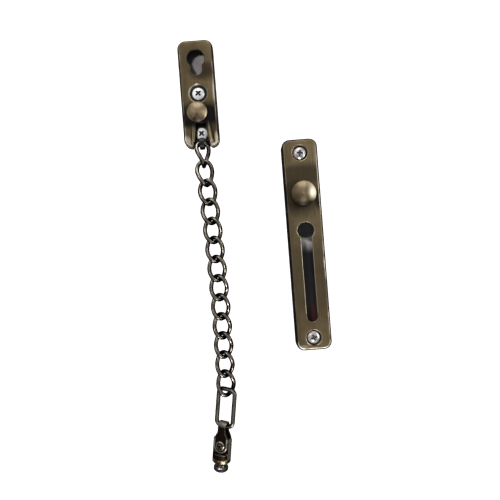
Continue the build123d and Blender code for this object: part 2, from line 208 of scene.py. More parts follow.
def makeHaloGroup():
    group, entry, result = startGroup(
        "darkHalo", {"Centre": "Vector", "Reach": "Vector"}, {"Halo": "Float"}
    )
    away = vectorCalc(group, "SUBTRACT", objectPlace(group), entry.outputs["Centre"])
    share = vectorCalc(group, "DIVIDE", away, entry.outputs["Reach"])
    distance = vectorCalc(group, "LENGTH", share)
    halo = remap(group, distance, 1.0, effectLook["haloCore"], smooth=True)
    group.links.new(halo, result.inputs["Halo"])
    return group


def makeRingGroup():
    group, entry, result = startGroup("turnedRings", {"Centre": "Vector"}, {"Rings": "Float"})
    away = vectorCalc(group, "SUBTRACT", objectPlace(group), entry.outputs["Centre"])
    radius = vectorCalc(group, "LENGTH", vectorCalc(group, "MULTIPLY", away, (1.0, 0.0, 1.0)))
    look = {"W": radius, "Scale": effectLook["rings"], "Detail": 3.0}
    rings = addNode(group, "ShaderNodeTexNoise", look, noise_dimensions="1D").outputs["Fac"]
    group.links.new(remap(group, rings, 0.3, 0.7), result.inputs["Rings"])
    return group


brushedGrain = makeGrainGroup()
edgeRub = makeRubGroup()
darkHalo = makeHaloGroup()
turnedRings = makeRingGroup()
print("shared effects made")


# antique-bronze covers: brushed lengthways, with patina and painted shade round the knobs, painted
# shade along the edges and painted highlights on rims and openings

coverLook = {
    "patinaAndShade": (0.013, 0.011, 0.011, 1),
    "bright": (0.95, 0.86, 0.70, 1),
    "inside": (0.006, 0.006, 0.006, 1),
    "grain": (2600.0, 2600.0, 60.0),  # streaks per metre across, through and along the plate
    "grainDepth": 0.004 * mm,
    "wall": 1.25 * mm,  # what lies deeper than this behind the front or the sides is painted near-black as shade
    "edgeZone": 3.2 * mm,  # width of the outer border that carries the painted rim highlight
    "line": (0.998, 0.985),  # how far the rim turns from the front where its painted pale line runs
    "outline": (0.955, 0.90),  # and where it goes dark with painted shade
    "outlineDepth": 0.96,
    "lowTurn": (-0.15, -0.35),  # how far the rim looks down at the lower end
    "slotBorder": 0.75 * mm,
    "borderSoft": 0.15 * mm,
    "lineSoft": 2 * mm,
    "lineCore": 0.3,  # share of a drawn line's width that is at full strength
    "stretches": 62.0,  # the painted rim highlight comes and goes this often in a metre
    "stretchStep": (0.47, 0.57),
    "stretchShare": (0.12, 0.8),
    "edgeTurn": (0.1, 0.4),
    "leftShare": 0.35,  # the left edge, away from the lamps, gets less painted highlight
    "shadeShare": (0.82, 1.0),
    "paleShare": 0.55,
    "streakShare": 0.40,
    "roughness": (0.31, 0.46),
    "roughInside": 0.4,
    "roughOutline": 0.35,
    "grainStrength": 0.5,
}


def makeInsideGroup():
    group, entry, result = startGroup(
        "insideOfCover", {"Low": "Vector", "High": "Vector"}, {"Inside": "Float"}
    )
    points = (objectPlace(group), entry.outputs["Low"], entry.outputs["High"])
    spot, low, high = (axesOf(group, point) for point in points)
    share = calc(group, "GREATER_THAN", spot["Y"], low["Y"])
    for letter in "XZ":
        above = calc(group, "GREATER_THAN", spot[letter], low[letter])
        below = calc(group, "LESS_THAN", spot[letter], high[letter])
        share = times(group, share, times(group, above, below))
    group.links.new(share, result.inputs["Inside"])
    return group


insideOfCover = makeInsideGroup()


def turnedToFront(tree):
    return vectorCalc(tree, "DOT_PRODUCT", normalOf(tree), frontWards)


def facingAxes(tree):
    return axesOf(tree, normalOf(tree))


def strongest(tree, masks):
    result = masks[0]
    for mask in masks[1:]:
        result = calc(tree, "MAXIMUM", result, mask)
    return result


def haloes(tree, spots):
    masks = []
    for centre, reach, depth in spots:
        halo = useGroup(tree, darkHalo, {"Centre": centre, "Reach": reach})["Halo"]
        masks.append(times(tree, halo, depth))
    return strongest(tree, masks)


def hypotenuse(tree, first, second):
    squares = [times(tree, side, side) for side in (first, second)]
    return calc(tree, "SQRT", calc(tree, "ADD", *squares))


def band(tree, value, inner, outer, soft):
    rise = remap(tree, value, inner - soft, inner + soft)
    return times(tree, rise, remap(tree, value, outer + soft, outer - soft))


def paintedRimHighlight(tree, cover):
    # painted highlight: pale line just inside the outline, broken like a rubbed edge, strongest on the
    # right and lower edges where the lamps reflect
    stretches = noise(tree, objectPlace(tree), coverLook["stretches"], 1.0)
    facing = facingAxes(tree)
    start, stop = coverLook["edgeTurn"]
    reached = strongest(tree, [
        remap(tree, facing["X"], start, stop),
        remap(tree, facing["Z"], -start, -stop),
        remap(tree, facing["X"], -start, -stop, 0.0, coverLook["leftShare"]),
    ])
    step, share = coverLook["stretchStep"], coverLook["stretchShare"]
    worn = times(tree, reached, remap(tree, stretches, *step, *share, smooth=True))
    line = remap(tree, turnedToFront(tree), *coverLook["line"], smooth=True)
    marks = strongest(tree, [worn, haloes(tree, cover["glints"])])
    return times(tree, line, marks)


# painted highlight: pale rings round the openings and seats
def openingBorders(tree, cover):
    spot = axesOf(tree, objectPlace(tree))
    masks = []
    for centre, drop, radius, width, strength in cover["borders"]:
        across = calc(tree, "SUBTRACT", spot["X"], centre.x)
        above = calc(tree, "MAXIMUM", calc(tree, "SUBTRACT", spot["Z"], centre.z), 0.0)
        below = calc(tree, "MAXIMUM", calc(tree, "SUBTRACT", centre.z - drop, spot["Z"]), 0.0)
        away = hypotenuse(tree, across, calc(tree, "ADD", above, below))
        border = band(tree, away, radius, radius + width, coverLook["borderSoft"])
        masks.append(times(tree, border, strength))
    return strongest(tree, masks)


def drawnLines(tree, lines):
    place = objectPlace(tree)
    masks = []
    for start, end, width, strength in lines:
        length = (end - start).length
        along = (end - start) / length
        off = Vector((along.z, 0, -along.x))
        away = vectorCalc(tree, "SUBTRACT", place, start)
        run = vectorCalc(tree, "DOT_PRODUCT", away, along)
        gap = calc(tree, "ABSOLUTE", vectorCalc(tree, "DOT_PRODUCT", away, off))
        across = remap(tree, gap, width, coverLook["lineCore"] * width, 0.0, strength, smooth=True)
        within = band(tree, run, 0.0, length, coverLook["lineSoft"])
        masks.append(times(tree, across, within))
    return strongest(tree, masks)


def agedBronze(name, cover):
    material, tree, shader = startMaterial(name)
    low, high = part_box(cover["node"])
    inset = Vector((coverLook["wall"],) * 3)
    grain = useGroup(tree, brushedGrain, {"Stretch": coverLook["grain"]})
    # painted shade down the left side, away from the lamps
    across = axesOf(tree, objectPlace(tree))["X"]
    leftReach, leftDepth = cover["leftShade"]
    leftward = remap(tree, across, low.x + leftReach, low.x, 0.0, leftDepth, smooth=True)
    creaseShade = drawnLines(tree, cover["creaseShade"])
    # patina and painted shade: dark haloes round the knobs and seats, painted shade in the creases
    # beside the lips and down the left side
    shade = strongest(tree, [haloes(tree, cover["dark"]), creaseShade, leftward])
    patches = remap(tree, grain["Blotches"], 0, 1, *coverLook["shadeShare"])
    uneven = times(tree, shade, patches)
    paler = times(tree, grain["Blotches"], coverLook["paleShare"])
    tone = mixColour(tree, paler, cover["bronze"], cover["pale"])
    body = mixColour(tree, uneven, tone, coverLook["patinaAndShade"])
    streaks = times(tree, grain["Streaks"], coverLook["streakShare"])
    streaked = mixColour(tree, streaks, body, coverLook["patinaAndShade"])
    zone = Vector((coverLook["edgeZone"], 0, coverLook["edgeZone"]))
    corners = {"Low": low + zone + frontWards, "High": high - zone}  # no limit in depth
    inner = useGroup(tree, insideOfCover, corners)["Inside"]
    outer = calc(tree, "SUBTRACT", 1.0, inner)
    edgeLine = times(tree, paintedRimHighlight(tree, cover), outer)
    # painted highlights: pale lip crests and spots, with the rim line and the rings round the openings
    ridges = strongest(tree, [drawnLines(tree, cover["ridges"]), haloes(tree, cover["shine"])])
    rubbed = strongest(tree, [edgeLine, openingBorders(tree, cover), ridges])
    brightened = mixColour(tree, rubbed, streaked, coverLook["bright"])
    # painted shade: the rim goes dark all round, less along the lower end
    downward = facingAxes(tree)["Z"]
    depths = (coverLook["outlineDepth"], cover["lowerRim"])
    lower = remap(tree, downward, *coverLook["lowTurn"], *depths)
    rim = times(tree, remap(tree, turnedToFront(tree), *coverLook["outline"]), outer)
    rim = times(tree, rim, lower)
    outlined = mixColour(tree, rim, brightened, coverLook["patinaAndShade"])
    # painted shade: the cover's insides are near-black and matt
    corners = {"Low": low + inset, "High": high - inset}
    within = useGroup(tree, insideOfCover, corners)["Inside"]
    colour = mixColour(tree, within, outlined, coverLook["inside"])
    paint(tree, shader, colour)
    matt = remap(tree, grain["Streaks"], 0, 1, *coverLook["roughness"])
    rougher = strongest(tree, [
        times(tree, within, coverLook["roughInside"]),
        times(tree, rim, coverLook["roughOutline"]),
    ])
    tree.links.new(calc(tree, "ADD", matt, rougher), shader.inputs["Roughness"])
    tree.links.new(calc(tree, "SUBTRACT", 1.0, within), shader.inputs["Metallic"])
    addBump(tree, shader, grain["Streaks"], coverLook["grainStrength"], coverLook["grainDepth"])
    return material


def middle(name):
    low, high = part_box(name)
    return (low + high) / 2


def spotAt(x, z):
    return Vector((x * mm, 0, z * mm))


def reachOf(x, z):
    return (x * mm, 1.0, z * mm)  # no limit in depth


def onTrack(x, z):
    return trackMiddle + spotAt(x, z)


rivetMiddle = middle("strap_rivet")
buttonMiddle = middle("press_button")
trackMiddle = middle("track_plate")
chainCover = {
    "node": "chain_plate",
    "lowerRim": 0.35,  # how dark the painted shade on the outline is along the lower end
    "bronze": (0.205, 0.148, 0.070, 1),
    "pale": (0.285, 0.222, 0.132, 1),
    "leftShade": (13 * mm, 0.50),
    # dark patches: patina round the knobs, with painted shade beside and below them
    "dark": [
        (rivetMiddle + spotAt(1, -2), reachOf(26, 13), 1.15),
        (spotAt(3, 14), reachOf(13, 9), 0.85),
        (spotAt(-2, 20), reachOf(14, 17), 0.55),
        (spotAt(0, 0), reachOf(10, 10), 0.45),
        (spotAt(0, 34), reachOf(16, 5), 0.45),
        (spotAt(7.6, -19), reachOf(3.2, 12), 0.75),
        (spotAt(-7.0, -21), reachOf(2.0, 10), 0.40),
    ],
    # glints, borders, ridges and shine are painted highlights
    "glints": [
        (spotAt(11, 1), reachOf(4, 10), 0.9),
        (spotAt(-9.5, -30.5), reachOf(5, 6), 1.3),
        (spotAt(9.5, -30.5), reachOf(5, 6), 1.3),
    ],
    "borders": [(spotAt(0, 0), 0.0, 4.5 * mm, 1.6 * mm, 0.24)],
    # painted shade in the creases beside the lips
    "creaseShade": [
        (spotAt(5.6, -13), spotAt(7.6, -30), 0.85 * mm, 1.0),
        (spotAt(-5.2, -17), spotAt(-6.6, -29), 0.65 * mm, 0.85),
    ],
    "ridges": [
        (spotAt(5.0, -19), spotAt(6.2, -32), 0.6 * mm, 0.15),
        (spotAt(-4.9, -20), spotAt(-5.4, -31), 0.5 * mm, 0.15),
    ],
    "shine": [
        (spotAt(-8.2, -30.0), reachOf(2.2, 5.0), 0.40),
        (spotAt(9.4, -28.5), reachOf(1.5, 6.0), 0.55),
        (spotAt(6.0, -31.0), reachOf(1.4, 3.0), 0.42),
        (spotAt(9.6, 0), reachOf(1.0, 9.0), 0.40),
    ],
}
trackCover = {
    "node": "track_plate",
    "lowerRim": 0.96,
    "bronze": (0.270, 0.200, 0.100, 1),
    "pale": (0.40, 0.315, 0.195, 1),
    "leftShade": (9 * mm, 0.45),
    # dark patches: patina round the button, with painted shade beside and below it
    "dark": [
        (buttonMiddle + spotAt(-4, 0), reachOf(22, 19), 0.84),
        (buttonMiddle + spotAt(0, 12), reachOf(34, 10), 0.72),
        (buttonMiddle + spotAt(11, -3), reachOf(9, 11), 0.95),
        (buttonMiddle + spotAt(0, -52), reachOf(30, 40), 0.45),
    ],
    # glints, borders, ridges and shine are painted highlights
    "glints": [
        (onTrack(11, -12), reachOf(4, 5), 0.9),
        (onTrack(-9, -63), reachOf(5, 5), 1.3),
        (onTrack(9, -63), reachOf(5, 5), 1.3),
        (onTrack(11, 42), reachOf(4, 22), 0.45),
    ],
    "borders": [
        (onTrack(0, 8.6), 49.85 * mm, 3.0 * mm, coverLook["slotBorder"], 0.32),
        (onTrack(0, 8.6), 0.0, 5.05 * mm, coverLook["slotBorder"], 0.16),
        (onTrack(0, -57.3), 0.0, 4.3 * mm, 0.8 * mm, 0.55),
        (onTrack(0, 56.3), 0.0, 4.6 * mm, 0.5 * mm, 0.25),
    ],
    # painted shade along the right side
    "creaseShade": [
        (onTrack(10.2, 10), onTrack(10.2, -60), 0.7 * mm, 0.35),
    ],
    "ridges": [
        (onTrack(9.0, 48), onTrack(9.0, 62), 0.8 * mm, 0.12),
    ],
    "shine": [(onTrack(-7.5, -62.5), reachOf(5, 1.6), 0.35)],
}
wear(["chain_plate"], agedBronze("agedBronzeChainPlate", chainCover))
wear(["track_plate"], agedBronze("agedBronzeTrackPlate", trackCover))


# domed knobs: turned, so the brushing runs in rings; painted shade to the left and below, painted
# highlights to the right and on the rim

domeLook = {
    "bronze": (0.325, 0.255, 0.155, 1),
    "shade": (0.115, 0.083, 0.045, 1),
    # near-black for the painted shade under the rim and at the bottom
    "bare": (0.03, 0.026, 0.022, 1),
    "paintedHighlight": (0.86, 0.76, 0.59, 1),
    "anisotropy": 0.5,
    "glintTurn": 0.25,  # glints spread across the rings
    "roughness": (0.40, 0.52),
    "below": (0.0, -0.45),  # how far the dome turns down where its painted shade starts
    "lowest": (-0.34, -0.52),  # and where the painted shade goes dark
    "wedge": (0.07, -0.10),  # painted shade: dark wedge that opens downwards from the top of the dome
    "crescent": (0.86, 0.66),  # painted highlight: pale rim on both sides of it
    "rivet": {
        "left": 0.0, "right": 0.0, "below": 0.15, "lowest": 0.50, "wedge": 0.85, "crescent": 0.70,
    },
    "button": {
        "left": 0.75, "right": 0.8, "below": 0.7, "lowest": 0.95, "wedge": 0.0, "crescent": 0.0,
    },
    "sideTurn": (0.10, 0.45),
    "lowHalf": (0.25, -0.15),
    "wedgeSlope": 0.55,
    "grain": (900.0, 900.0, 900.0),
    "ringShare": 0.32,
    "blotchShare": 0.3,
    "ringStrength": 0.6,
    "ringDepth": 0.003 * mm,
    "stemSoft": 0.3 * mm,
    "rivetDepth": 3.15 * mm,  # from the top of the dome to the back of its rim
    "buttonDepth": 3.65 * mm,
}


def turnedBronze(name, centre, domeBack, shading):
    material, tree, shader = startMaterial(name)
    turned = useGroup(tree, turnedRings, {"Centre": centre})
    grain = useGroup(tree, brushedGrain, {"Stretch": domeLook["grain"]})
    worn = times(tree, turned["Rings"], domeLook["ringShare"])
    body = mixColour(tree, worn, domeLook["bronze"], domeLook["shade"])
    blotches = times(tree, grain["Blotches"], domeLook["blotchShare"])
    blotched = mixColour(tree, blotches, body, domeLook["shade"])
    depth = axesOf(tree, objectPlace(tree))["Y"]
    # painted shade: the rim's underside and the stem are dark
    stem = remap(tree, depth, domeBack - domeLook["stemSoft"], domeBack)
    facing = facingAxes(tree)
    start, stop = domeLook["sideTurn"]
    # painted shade on the left and lower side, painted highlight on the right and the rim
    leftward = remap(tree, facing["X"], start, -stop, 0.0, shading["left"], smooth=True)
    below = remap(tree, facing["Z"], *domeLook["below"], 0.0, shading["below"], smooth=True)
    lowest = remap(tree, facing["Z"], *domeLook["lowest"], 0.0, shading["lowest"], smooth=True)
    rightward = remap(tree, facing["X"], start, stop, 0.0, shading["right"], smooth=True)
    sloped = times(tree, facing["Z"], domeLook["wedgeSlope"])
    spread = calc(tree, "ADD", calc(tree, "ABSOLUTE", facing["X"]), sloped)
    wedge = remap(tree, spread, *domeLook["wedge"], 0.0, shading["wedge"], smooth=True)
    lowHalf = remap(tree, facing["Z"], *domeLook["lowHalf"], smooth=True)
    front = turnedToFront(tree)
    rim = remap(tree, front, *domeLook["crescent"], 0.0, shading["crescent"], smooth=True)
    lit = strongest(tree, [rightward, times(tree, rim, lowHalf)])
    highlighted = mixColour(tree, lit, blotched, domeLook["paintedHighlight"])
    shadedSides = strongest(tree, [leftward, below, wedge])
    sided = mixColour(tree, shadedSides, highlighted, domeLook["shade"])
    dark = calc(tree, "MAXIMUM", stem, lowest)
    paint(tree, shader, mixColour(tree, dark, sided, domeLook["bare"]))
    roughen(tree, shader, turned["Rings"], domeLook["roughness"])
    addBump(tree, shader, turned["Rings"], domeLook["ringStrength"], domeLook["ringDepth"])
    turning = addNode(tree, "ShaderNodeTangent", direction_type="RADIAL", axis="Y")
    tree.links.new(turning.outputs[0], shader.inputs["Tangent"])
    shader.inputs["Metallic"].default_value = 1.0
    shader.inputs["Anisotropic"].default_value = domeLook["anisotropy"]
    shader.inputs["Anisotropic Rotation"].default_value = domeLook["glintTurn"]
    return material


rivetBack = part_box("strap_rivet")[0].y + domeLook["rivetDepth"]
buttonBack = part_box("press_button")[0].y + domeLook["buttonDepth"]
rivetBronze = turnedBronze("turnedBronzeRivet", rivetMiddle, rivetBack, domeLook["rivet"])
buttonBronze = turnedBronze("turnedBronzeButton", buttonMiddle, buttonBack, domeLook["button"])
wear(["strap_rivet"], rivetBronze)
wear(["press_button"], buttonBronze)
print("covers and knobs finished")


# chain wire: near-black plating, its front crest painted paler as a highlight, broken in thin patches

wireLook = {
    "dark": (0.017, 0.014, 0.012, 1),
    "rubbed": (0.43, 0.38, 0.31, 1),
    "grain": (1500.0, 1500.0, 260.0),
    "roughness": (0.20, 0.30),
    "crest": (0.76, 1.0),  # how squarely the wire faces the front where its painted highlight runs
    "patchStep": (0.1, 0.9),
    "patchShare": (0.50, 0.80),
}


def chainWire():
    material, tree, shader = startMaterial("darkChainWire")
    grain = useGroup(tree, brushedGrain, {"Stretch": wireLook["grain"]})
    # painted highlight: the front-facing crest goes pale in patches
    outer = remap(tree, turnedToFront(tree), *wireLook["crest"], smooth=True)
    step, share = wireLook["patchStep"], wireLook["patchShare"]
    patches = remap(tree, grain["Blotches"], *step, *share, smooth=True)
    litCrest = times(tree, outer, patches)
    colour = mixColour(tree, litCrest, wireLook["dark"], wireLook["rubbed"])
    paint(tree, shader, colour)
    roughen(tree, shader, grain["Streaks"], wireLook["roughness"])
    shader.inputs["Metallic"].default_value = 1.0
    return material


linkNames = sorted(name for name in nodes if name.startswith("link_"))
wear(linkNames + ["long_link"], chainWire())


# black strap and latch, and the two floors behind the openings

blackLook = {
    "black": (0.008, 0.008, 0.009, 1),
    "scuffed": (0.075, 0.07, 0.065, 1),
    "rubWidth": 0.4 * mm,
    "grain": (700.0, 700.0, 700.0),
    "scuffStart": 0.6,
    "scuffShare": 0.25,
    "metallic": 0.5,
    "roughness": (0.24, 0.42),
}


def blackSteel():
    material, tree, shader = startMaterial("blackSteel")
    grain = useGroup(tree, brushedGrain, {"Stretch": blackLook["grain"]})
    rub = useGroup(tree, edgeRub, {"Width": blackLook["rubWidth"]})["Rub"]
    start, share = blackLook["scuffStart"], blackLook["scuffShare"]
    scuffs = strongest(tree, [remap(tree, grain["Streaks"], start, 1.0, 0.0, share), rub])
    colour = mixColour(tree, scuffs, blackLook["black"], blackLook["scuffed"])
    paint(tree, shader, colour)
    roughen(tree, shader, grain["Blotches"], blackLook["roughness"])
    shader.inputs["Metallic"].default_value = blackLook["metallic"]
    return material


floorLook = {
    "steel": (0.80, 0.78, 0.77, 1),
    "back": (0.60, 0.57, 0.53, 1),  # plain zinc on the side that lies on the door
    "black": (0.008, 0.008, 0.010, 1),
    "reddish": (0.040, 0.012, 0.013, 1),
    "patch": 10 * mm,  # length of the painted highlight under the entry
    "redSpan": (38 * mm, 46 * mm),  # below the latch plate, where the floor turns reddish
    "grain": (2200.0, 2200.0, 90.0),
    "streakShare": (0.75, 1.0),
    "roughness": (0.35, 0.55),
    "metallic": (0.3, 0.7),
    "backTurn": (-0.5, -0.9),
}


def trackFloor():
    material, tree, shader = startMaterial("trackFloor")
    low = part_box("latch_plate")[0]
    grain = useGroup(tree, brushedGrain, {"Stretch": floorLook["grain"]})
    height = axesOf(tree, objectPlace(tree))["Z"]
    # painted highlight: bright steel just below the latch plate, fading downwards
    rubbed = remap(tree, height, low.z - floorLook["patch"], low.z, smooth=True)
    streaks = remap(tree, grain["Streaks"], 0, 1, *floorLook["streakShare"])
    broken = times(tree, rubbed, streaks)
    start, stop = floorLook["redSpan"]
    bottom = remap(tree, height, low.z - start, low.z - stop, smooth=True)
    deep = mixColour(tree, bottom, floorLook["black"], floorLook["reddish"])
    channel = mixColour(tree, broken, deep, floorLook["steel"])
    back = remap(tree, turnedToFront(tree), *floorLook["backTurn"])
    colour = mixColour(tree, back, channel, floorLook["back"])
    paint(tree, shader, colour)
    roughen(tree, shader, grain["Blotches"], floorLook["roughness"])
    bare = calc(tree, "MAXIMUM", remap(tree, rubbed, 0, 1, *floorLook["metallic"]), back)
    tree.links.new(bare, shader.inputs["Metallic"])
    return material


plateLook = {
    "light": (0.19, 0.175, 0.165, 1),
    "dull": (0.13, 0.12, 0.115, 1),
    "darkBelow": (-4 * mm, 4 * mm),
    "grain": (1800.0, 1800.0, 120.0),
    "roughness": (0.5, 0.68),
    "metallic": 0.1,
}


def greyPlate():
    material, tree, shader = startMaterial("greyPlate")
    grain = useGroup(tree, brushedGrain, {"Stretch": plateLook["grain"]})
    height = axesOf(tree, objectPlace(tree))["Z"]
    start, stop = plateLook["darkBelow"]
    grey = mixColour(tree, grain["Blotches"], plateLook["light"], plateLook["dull"])
    blackened = remap(tree, height, stop, start)  # the end under the strap is near-black
    front = mixColour(tree, blackened, grey, blackLook["black"])
    back = remap(tree, turnedToFront(tree), *floorLook["backTurn"])
    colour = mixColour(tree, back, front, floorLook["back"])
    paint(tree, shader, colour)
    roughen(tree, shader, grain["Streaks"], plateLook["roughness"])
    bare = remap(tree, back, 0, 1, plateLook["metallic"], 1.0)
    tree.links.new(bare, shader.inputs["Metallic"])
    return material


wear(["anchor_strap", "latch_plate"], blackSteel())
wear(["track_back"], trackFloor())
wear(["chain_plate_back"], greyPlate())


# end fitting: dark bronze strap with rubbed edges and painted highlights, and the pin with its brass
# collar

fittingLook = {
    "brown": (0.030, 0.018, 0.012, 1),
    "edge": (0.90, 0.81, 0.70, 1),
    "brass": (0.135, 0.094, 0.040, 1),
    "collarHighlight": (0.80, 0.66, 0.42, 1),
    "slugRadius": 5.75 * mm,
    "black": (0.010, 0.009, 0.009, 1),
    "rubWidth": 0.6 * mm,
    "head": (0.17, 0.16, 0.155, 1),
    "leafHalf": 4.45 * mm,
    "leafStart": 7.1 * mm,  # along the pin from the bar, where the neck has widened to the leaf
    "rivetDrop": 11.6 * mm,
    "rivetHead": 2.45 * mm,
    "borderWidth": (1.05 * mm, 0.45 * mm),  # in from the leaf's edge: painted highlight border's start and full
    "leafSoft": 1 * mm,
    "foldSpan": (0.5 * mm, -1.5 * mm),
    "ringWidth": (0.2 * mm, 0.4 * mm),
    "soft": 0.15 * mm,
    "strapGrain": (900.0, 900.0, 500.0),
    "pinGrain": (900.0, 900.0, 900.0),
    "blackShare": 0.4,
    "brownShare": 0.5,
    "ringShare": 0.6,
    "foldShare": 0.30,
    "brokenShare": (1.0, 0.45),
    "strapRoughness": (0.24, 0.42),
    "pinRoughness": (0.22, 0.36),
    "headRoughness": 0.12,
    "flank": (-0.86, -0.96),  # shares of the slug's radius, along its right side: a painted highlight line
    "flankShare": 0.9,
    "rubShare": 0.55,
    "paintedHighlight": (0.45, 0.80, 0.12),  # shares of the radius: the collar's painted highlight bands and their softness
    "collar": (7.7 * mm, 5.1 * mm),  # back from the pin's end; neck and head lie beyond it
    "endSlice": 0.3 * mm,
}
barCentre = Vector(joints["end_fitting_swing"]["pos_m"])
pinPoints = [vertex.co.copy() for vertex in nodes["sliding_pin"].data.vertices]
pinReach = max((point - barCentre).length for point in pinPoints)
endReach = pinReach - fittingLook["endSlice"]
headEnd = [point for point in pinPoints if (point - barCentre).length > endReach]
pinAxis = (sum(headEnd, Vector()) / len(headEnd) - barCentre).normalized()
sideAxis = Vector(joints["end_fitting_swing"]["axis"]).normalized()
pinLength = max((point - barCentre).dot(pinAxis) for point in pinPoints)
collarSpan = [pinLength - back for back in fittingLook["collar"]]


def placeOnFitting(tree):
    away = vectorCalc(tree, "SUBTRACT", objectPlace(tree), barCentre)
    return [vectorCalc(tree, "DOT_PRODUCT", away, axis) for axis in (pinAxis, sideAxis)]


def strapBronze():
    material, tree, shader = startMaterial("strapBronze")
    grain = useGroup(tree, brushedGrain, {"Stretch": fittingLook["strapGrain"]})
    rub = useGroup(tree, edgeRub, {"Width": fittingLook["rubWidth"]})["Rub"]
    blotches = times(tree, grain["Blotches"], fittingLook["blackShare"])
    body = mixColour(tree, blotches, fittingLook["brown"], fittingLook["black"])
    along, side = placeOnFitting(tree)
    half, start = fittingLook["leafHalf"], fittingLook["leafStart"]
    soft, drop = fittingLook["leafSoft"], fittingLook["rivetDrop"]
    beyond = calc(tree, "MAXIMUM", calc(tree, "SUBTRACT", along, drop), 0.0)
    fromMiddle = hypotenuse(tree, side, beyond)
    onLeaf = remap(tree, along, start - soft, start + soft)
    outerStart, outerFull = fittingLook["borderWidth"]
    # painted highlights: pale border round the leaf, ring round the rivet head and the lit top of the
    # fold
    outline = remap(tree, fromMiddle, half - outerStart, half - outerFull, smooth=True)
    border = times(tree, outline, onLeaf)
    fromRivet = hypotenuse(tree, side, calc(tree, "SUBTRACT", along, drop))
    headEdge = fittingLook["rivetHead"]
    inward, outward = fittingLook["ringWidth"]
    ring = band(tree, fromRivet, headEdge - inward, headEdge + outward, fittingLook["soft"])
    ring = times(tree, ring, fittingLook["ringShare"])
    fold = remap(tree, along, *fittingLook["foldSpan"], 0.0, fittingLook["foldShare"])
    drawn = strongest(tree, [border, ring, fold])
    patches = remap(tree, grain["Blotches"], 0, 1, *fittingLook["brokenShare"])
    broken = times(tree, drawn, patches)
    rubbedAndLit = calc(tree, "MAXIMUM", rub, broken)
    colour = mixColour(tree, rubbedAndLit, body, fittingLook["edge"])
    paint(tree, shader, colour)
    roughen(tree, shader, grain["Streaks"], fittingLook["strapRoughness"])
    shader.inputs["Metallic"].default_value = 1.0
    return material


def pinBronze():
    material, tree, shader = startMaterial("pinBronze")
    grain = useGroup(tree, brushedGrain, {"Stretch": fittingLook["pinGrain"]})
    along, side = placeOnFitting(tree)
    soft = fittingLook["soft"]
    start, stop = collarSpan
    onCollar = band(tree, along, start, stop, soft)
    onHead = remap(tree, along, stop - soft, stop + soft)
    rub = useGroup(tree, edgeRub, {"Width": fittingLook["rubWidth"]})["Rub"]
    body = mixColour(tree, onHead, fittingLook["brown"], fittingLook["head"])
    radius = fittingLook["slugRadius"]
    # painted highlight: a pale line down the slug's right side
    flankStart, flankFull = (share * radius for share in fittingLook["flank"])
    flank = remap(tree, side, flankStart, flankFull, 0.0, fittingLook["flankShare"])
    onSlug = times(tree, flank, calc(tree, "SUBTRACT", 1.0, onHead))
    rubbed = times(tree, rub, fittingLook["rubShare"])
    rubbedAndLit = calc(tree, "MAXIMUM", rubbed, onSlug)
    worn = mixColour(tree, rubbedAndLit, body, fittingLook["edge"])
    blotches = times(tree, grain["Blotches"], fittingLook["brownShare"])
    brass = mixColour(tree, blotches, fittingLook["brass"], fittingLook["brown"])
    # painted highlight: pale bands down both sides of the collar
    highlightSpan = [share * radius for share in fittingLook["paintedHighlight"]]
    highlighted = band(tree, calc(tree, "ABSOLUTE", side), *highlightSpan)
    collar = mixColour(tree, highlighted, brass, fittingLook["collarHighlight"])
    paint(tree, shader, mixColour(tree, onCollar, worn, collar))
    matt = remap(tree, grain["Streaks"], 0, 1, *fittingLook["pinRoughness"])
    mix = {0: onHead, 2: matt, 3: fittingLook["headRoughness"]}
    shine = addNode(tree, "ShaderNodeMix", mix, data_type="FLOAT")
    tree.links.new(shine.outputs[0], shader.inputs["Roughness"])
    shader.inputs["Metallic"].default_value = 1.0
    return material


wear(["end_strap", "end_rivet"], strapBronze())
wear(["sliding_pin"], pinBronze())
print("chain, straps and fitting finished")


# screws: pan heads with a cross recess and a cut thread, modelled once and copied

screwLook = {
    "headRadius": 3.7 * mm,
    "rimHeight": 1.0 * mm,
    "crownHeight": 1.3 * mm,
    "crownSteps": (0.95, 0.86, 0.72, 0.54, 0.34, 0.14),  # shares of the head's radius
    "armLength": 4.9 * mm,
    "armWidth": 1.5 * mm,
    "recessDepth": 1.35 * mm,
    "recessTaper": 0.72,
    "cutterRise": 2.0 * mm,  # so that it comes out above the crown
    "neckRadius": 1.95 * mm,
    "rootRadius": 1.35 * mm,
    "crestRadius": 1.75 * mm,
    "pitch": 1.5 * mm,
    "threadLength": 15.0 * mm,
    "tipLength": 3.5 * mm,
    "tipShare": 0.06,  # width of the point, of the core's
    "threadGap": 0.6 * mm,  # left free at both ends of the thread
    "ridgeShare": 0.42,  # height of the ridge's foot, of the pitch
    "sunk": 0.1 * mm,  # the ridge's foot lies inside the core
    "shortNeck": 2.0 * mm,
    "shoulder": 0.15 * mm,
    "edge": 0.09 * mm,
    "edgeAngle": 38.0,
    "smoothAngle": 32.0,
    "headSides": 72,
    "coreSides": 48,
    "threadSteps": 30,
}
screwPlaces = {
    "chain_plate_upper_screw": {
        "neck": 4.0 * mm, "turn": 38.0, "finish": "nickel", "recess": "recess", "slot": "silver_screw",
    },
    "chain_plate_lower_screw": {
        "neck": 2.0 * mm, "turn": 43.0, "finish": "nickel", "recess": "recess", "slot": "silver_screw",
    },
    "track_upper_screw": {
        "neck": 5.0 * mm, "turn": -8.0, "finish": "zinc", "recess": "dimRecess", "slot": "zinc_screw",
    },
    "track_lower_screw": {
        "neck": 5.0 * mm, "turn": 20.0, "finish": "zinc", "recess": "dimRecess", "slot": "zinc_screw",
    },
}


def startPiece(name):
    piece = bpy.context.object
    piece.name = name
    piece.data.name = name
    return piece


def settle():
    bpy.ops.object.transform_apply(location=True, rotation=True, scale=True)


def activate(piece):
    bpy.ops.object.select_all(action="DESELECT")
    piece.select_set(True)
    bpy.context.view_layer.objects.active = piece


